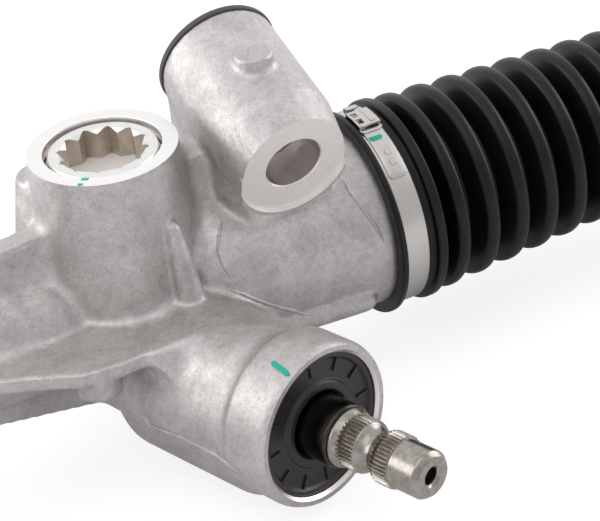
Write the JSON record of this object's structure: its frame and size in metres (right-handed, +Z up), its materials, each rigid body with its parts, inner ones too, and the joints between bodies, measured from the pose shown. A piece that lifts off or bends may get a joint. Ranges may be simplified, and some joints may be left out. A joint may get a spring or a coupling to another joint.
{
  "type": "steering rack",
  "caption": "Rack-and-pinion steering gear: cast housing with yoke boss and pinion barrel, sliding rack, splined input shaft, bellows boots and jointed tie rods.",
  "frame": {"origin": "centre of the machined face of the pinion-side mounting boss", "axes": "+X along the rack towards the pinion-side boot, +Z up along the yoke plug, -Y towards the splined input shaft"},
  "size_m": [1.2266, 0.1667, 0.1262],
  "materials": {
    "cast_aluminium": "cast, satin, with bright machined faces",
    "machined_steel": "machined",
    "bearing_steel": "ground",
    "yoke_aluminium": "machined",
    "bearing_plastic": "matt",
    "seal_rubber": "matt",
    "bush_rubber": "matt",
    "plated_steel": "zinc plated",
    "rod_steel": "phosphated",
    "boot_rubber": "satin",
    "stainless": "rolled strip"
  },
  "bodies": {
    "housing": {"rack_housing": "cast_aluminium", "rack_bush": "bearing_plastic", "rack_stop_left": "seal_rubber", "rack_stop_right": "seal_rubber", "yoke": "yoke_aluminium", "yoke_liner": "bearing_plastic", "yoke_o_ring": "seal_rubber", "yoke_spring": "bearing_steel", "yoke_plug": "yoke_aluminium", "pinion_bearing_outer": "bearing_steel", "pinion_snap_ring": "bearing_steel", "pinion_lower_bush": "bearing_steel", "pinion_seal": "seal_rubber", "mount_bush_shell_left": "plated_steel", "mount_bush_rubber_left": "bush_rubber", "mount_bush_sleeve_left": "plated_steel", "mount_bush_shell_right": "plated_steel", "mount_bush_rubber_right": "bush_rubber", "mount_bush_sleeve_right": "plated_steel", "boot_left": "boot_rubber", "boot_right": "boot_rubber", "boot_clamp_left": "stainless", "boot_clamp_right": "stainless"},
    "rack": {"rack_bar": "machined_steel", "inner_socket_left": "machined_steel", "inner_socket_right": "machined_steel"},
    "pinion": {"pinion_shaft": "machined_steel", "pinion_bearing_inner": "bearing_steel", "pinion_bearing_balls": "bearing_steel"},
    "seat_left": {"ball_seat_left": "bearing_plastic"},
    "seat_right": {"ball_seat_right": "bearing_plastic"},
    "rod_left": {"tie_rod_left": "rod_steel", "jam_nut_left": "plated_steel", "boot_clip_left": "stainless"},
    "rod_right": {"tie_rod_right": "rod_steel", "jam_nut_right": "plated_steel", "boot_clip_right": "stainless"}
  },
  "joints": [
    {"name": "rack_slide", "type": "slide", "parent": "housing", "child": "rack", "axis": [1, 0, 0], "range_m": [-0.07, 0.07], "deforming": ["boot_left", "boot_right"]},
    {"name": "pinion_spin", "type": "hinge", "parent": "housing", "child": "pinion", "pos_m": [-0.0516, 0.0274, -0.05905], "axis": [0.3206, -0.9472, 0], "range_deg": [-474.88, 474.88]},
    {"name": "tie_rod_left_swing", "type": "hinge", "parent": "rack", "child": "seat_left", "pos_m": [-0.5299, 0.0274, -0.0429], "axis": [0, 0, 1], "range_deg": [-25, 25], "deforming": ["boot_left"]},
    {"name": "tie_rod_left_bump", "type": "hinge", "parent": "seat_left", "child": "rod_left", "pos_m": [-0.5299, 0.0274, -0.0429], "axis": [0, 1, 0], "range_deg": [-20, 20], "deforming": ["boot_left"]},
    {"name": "tie_rod_right_swing", "type": "hinge", "parent": "rack", "child": "seat_right", "pos_m": [0.1267, 0.0274, -0.0429], "axis": [0, 0, 1], "range_deg": [-25, 25], "deforming": ["boot_right"]},
    {"name": "tie_rod_right_bump", "type": "hinge", "parent": "seat_right", "child": "rod_right", "pos_m": [0.1267, 0.0274, -0.0429], "axis": [0, 1, 0], "range_deg": [-20, 20], "deforming": ["boot_right"]}
  ],
  "couplings": [
    {"joint": "pinion_spin", "follows": "rack_slide", "rad_per_m": -118.4}
  ]
}
